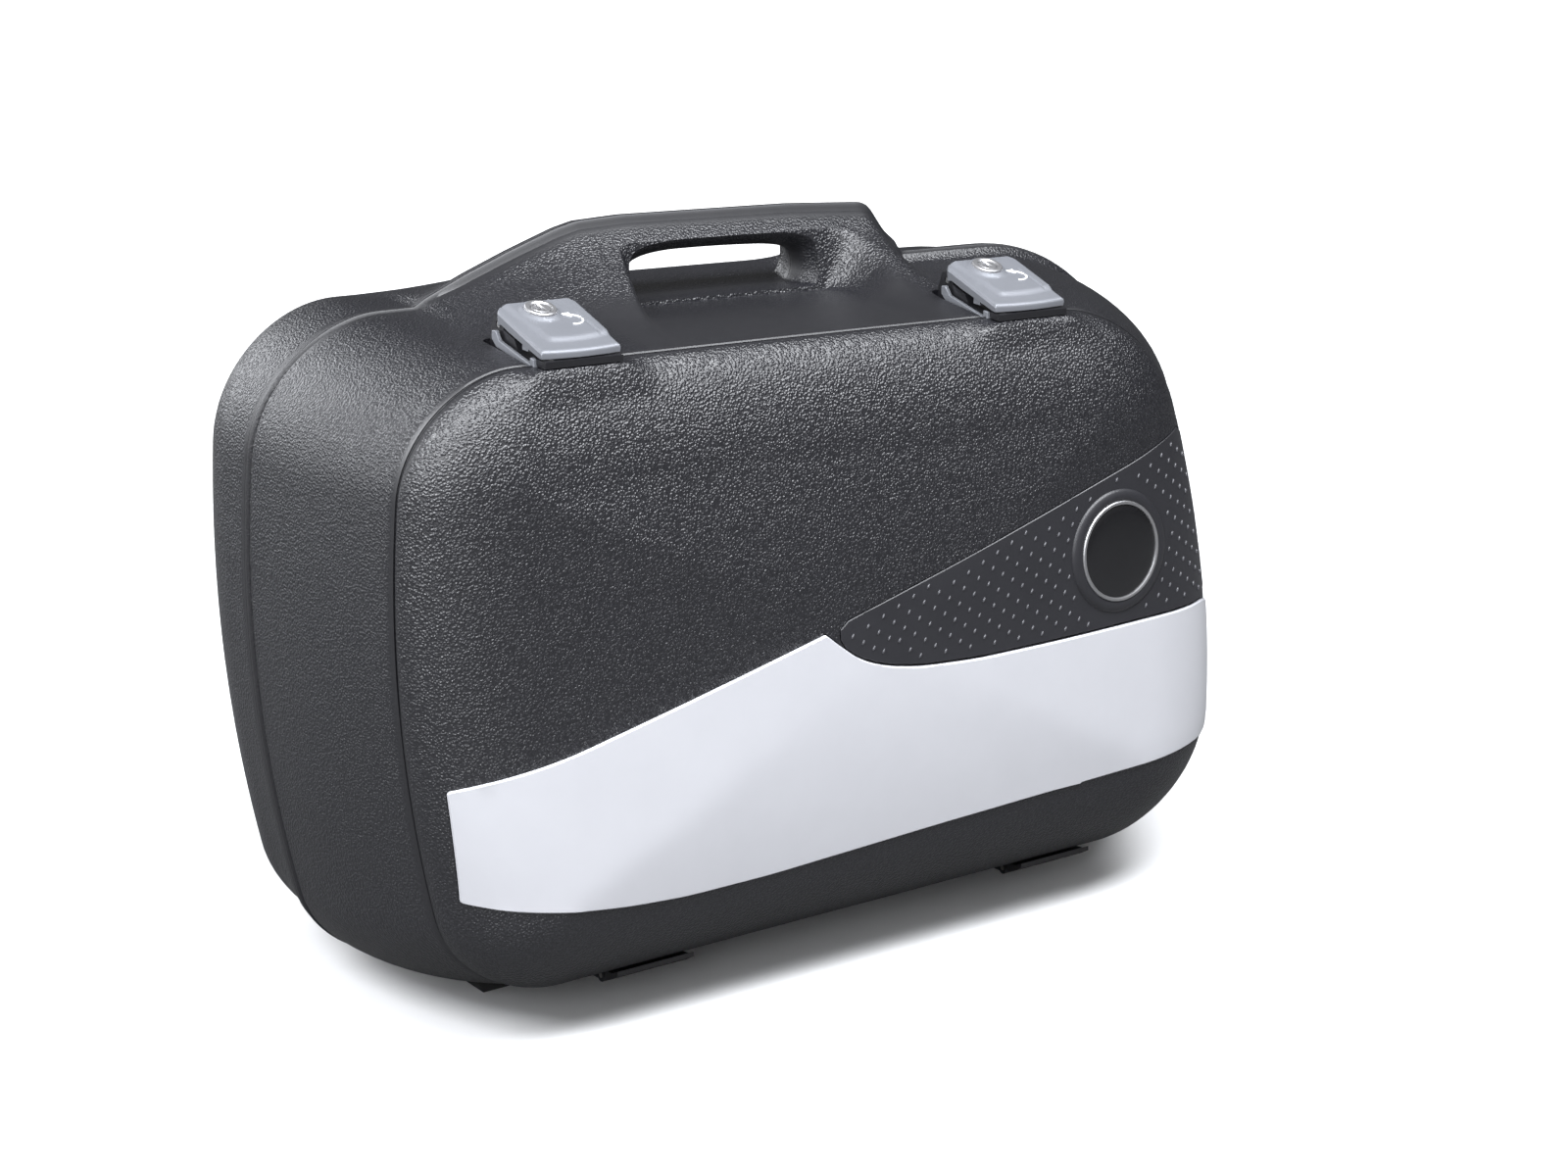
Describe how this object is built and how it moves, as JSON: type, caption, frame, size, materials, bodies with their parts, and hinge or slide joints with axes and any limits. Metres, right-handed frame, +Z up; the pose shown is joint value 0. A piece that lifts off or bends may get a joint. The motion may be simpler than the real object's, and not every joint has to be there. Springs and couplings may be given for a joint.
{
  "type": "motorcycle saddlebag",
  "caption": "Hard motorcycle side case with a moulded carry handle, a bottom-hinged lid, draw latches with key locks, a silver trim panel and mounting bars on its recessed back.",
  "frame": {"origin": "centre of the bounding box in x and y, on the plane of the feet", "axes": "+X to the right when facing the lid, -Y out through the lid, +Z up"},
  "size_m": [0.5388, 0.2334, 0.3716],
  "materials": {
    "grained_plastic": "black ABS with a pebbled grain, half-gloss",
    "smooth_plastic": "smooth black plastic, half-gloss",
    "silver_panel": "satin silver lacquer",
    "gloss_black": "gloss black",
    "bright_metal": "polished",
    "lock_metal": "grey metallic lacquer, satin",
    "zinc_steel": "zinc-plated, satin",
    "painted_steel": "black paint, satin",
    "black_rubber": "matt",
    "webbing": "woven webbing"
  },
  "bodies": {
    "case": {"back_shell": "grained_plastic", "bar_rivet_left_1": "zinc_steel", "bar_rivet_left_2": "zinc_steel", "bar_rivet_left_3": "zinc_steel", "bar_rivet_left_4": "zinc_steel", "bar_rivet_right_1": "zinc_steel", "bar_rivet_right_2": "zinc_steel", "bar_rivet_right_3": "zinc_steel", "bar_rivet_right_4": "zinc_steel", "centre_shell": "grained_plastic", "foot_front_left": "black_rubber", "foot_front_right": "black_rubber", "foot_rear_left": "black_rubber", "foot_rear_right": "black_rubber", "hinge_left_base_leaf": "zinc_steel", "hinge_left_pin": "zinc_steel", "hinge_right_base_leaf": "zinc_steel", "hinge_right_pin": "zinc_steel", "latch_left_base": "smooth_plastic", "latch_left_lever_pin": "zinc_steel", "latch_right_base": "smooth_plastic", "latch_right_lever_pin": "zinc_steel", "luggage_strap_left": "webbing", "luggage_strap_right": "webbing", "mounting_bar_left": "painted_steel", "mounting_bar_right": "painted_steel", "strap_buckle_left": "smooth_plastic", "strap_buckle_right": "smooth_plastic"},
    "lid": {"lid_shell": "grained_plastic", "lid_seal": "black_rubber", "silver_trim": "silver_panel", "studded_panel": "smooth_plastic", "badge_ring": "bright_metal", "badge_disc": "gloss_black", "latch_left_catch": "smooth_plastic", "latch_right_catch": "smooth_plastic", "hinge_left_lid_leaf": "zinc_steel", "hinge_right_lid_leaf": "zinc_steel"},
    "left_lever": {"latch_left_lever": "lock_metal", "latch_left_key_bezel": "bright_metal", "latch_left_hook_pin": "zinc_steel"},
    "left_hook": {"latch_left_hook": "zinc_steel"},
    "left_key": {"latch_left_key_cylinder": "bright_metal", "latch_left_lock_tongue": "zinc_steel"},
    "right_lever": {"latch_right_lever": "lock_metal", "latch_right_key_bezel": "bright_metal", "latch_right_hook_pin": "zinc_steel"},
    "right_hook": {"latch_right_hook": "zinc_steel"},
    "right_key": {"latch_right_key_cylinder": "bright_metal", "latch_right_lock_tongue": "zinc_steel"}
  },
  "joints": [
    {"name": "lid_hinge", "type": "hinge", "parent": "case", "child": "lid", "pos_m": [0.00096, -0.07121, 0.0216], "axis": [1, 0, 0], "range_deg": [0, 66]},
    {"name": "left_lever_lift", "type": "hinge", "parent": "case", "child": "left_lever", "pos_m": [-0.14918, -0.03501, 0.34577], "axis": [-0.9983, 0, 0.0576], "range_deg": [0, 70]},
    {"name": "left_hook_turn", "type": "hinge", "parent": "left_lever", "child": "left_hook", "pos_m": [-0.14949, -0.06101, 0.34038], "axis": [-0.9983, 0, 0.0576], "range_deg": [-42, 0]},
    {"name": "left_key_turn", "type": "hinge", "parent": "left_lever", "child": "left_key", "pos_m": [-0.15181, -0.04601, 0.35223], "axis": [-0.0555, 0.2637, -0.963], "range_deg": [0, 90]},
    {"name": "right_lever_lift", "type": "hinge", "parent": "case", "child": "right_lever", "pos_m": [0.11082, -0.03501, 0.33037], "axis": [-0.9983, 0, 0.0576], "range_deg": [0, 70]},
    {"name": "right_hook_turn", "type": "hinge", "parent": "right_lever", "child": "right_hook", "pos_m": [0.11051, -0.06101, 0.32498], "axis": [-0.9983, 0, 0.0576], "range_deg": [-42, 0]},
    {"name": "right_key_turn", "type": "hinge", "parent": "right_lever", "child": "right_key", "pos_m": [0.10819, -0.04601, 0.33683], "axis": [-0.0555, 0.2637, -0.963], "range_deg": [0, 90]}
  ],
  "couplings": [
    {"joint": "left_hook_turn", "follows": "left_lever_lift", "ratio": -0.6},
    {"joint": "right_hook_turn", "follows": "right_lever_lift", "ratio": -0.6}
  ]
}
